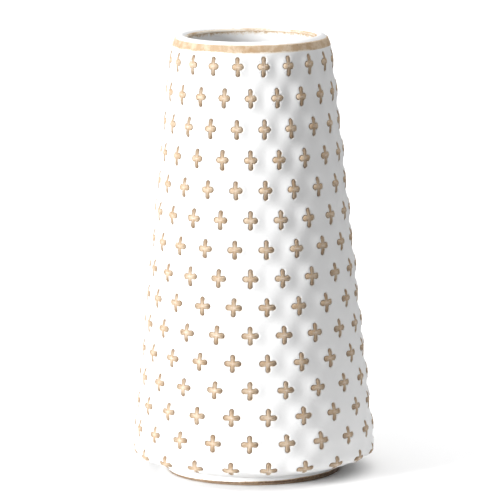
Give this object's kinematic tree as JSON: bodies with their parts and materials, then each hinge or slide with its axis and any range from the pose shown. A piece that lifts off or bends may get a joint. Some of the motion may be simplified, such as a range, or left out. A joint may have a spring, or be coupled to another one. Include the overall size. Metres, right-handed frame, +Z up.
{
  "type": "vase",
  "caption": "Tall tapered stoneware vase with a round open mouth, white satin glaze and staggered rows of bare clay crosses; stands on a recessed foot ring.",
  "frame": {"origin": "centre of the foot ring's bottom edge, on the surface that the vase stands on", "axes": "+Z up along the vase's axis; -Y is the front, where a cross of the second row is centred"},
  "size_m": [0.1528, 0.1528, 0.278],
  "materials": {
    "stoneware_body": "unglazed stoneware, fired tan",
    "outside_glaze": "satin opaque white glaze",
    "inside_glaze": "satin opaque white glaze, inside",
    "bare_crosses": "bare stoneware, browner at the glaze edge"
  },
  "bodies": {
    "root": {"clay_wall": "stoneware_body", "clay_floor": "stoneware_body", "foot_ring": "stoneware_body", "lip_ring": "stoneware_body", "outer_glaze": "outside_glaze", "lip_glaze": "outside_glaze", "base_glaze": "outside_glaze", "inner_glaze": "inside_glaze", "cross_row_01": "bare_crosses", "cross_row_02": "bare_crosses", "cross_row_03": "bare_crosses", "cross_row_04": "bare_crosses", "cross_row_05": "bare_crosses", "cross_row_06": "bare_crosses", "cross_row_07": "bare_crosses", "cross_row_08": "bare_crosses", "cross_row_09": "bare_crosses", "cross_row_10": "bare_crosses", "cross_row_11": "bare_crosses", "cross_row_12": "bare_crosses", "cross_row_13": "bare_crosses", "cross_row_14": "bare_crosses", "cross_row_15": "bare_crosses"}
  },
  "joints": []
}
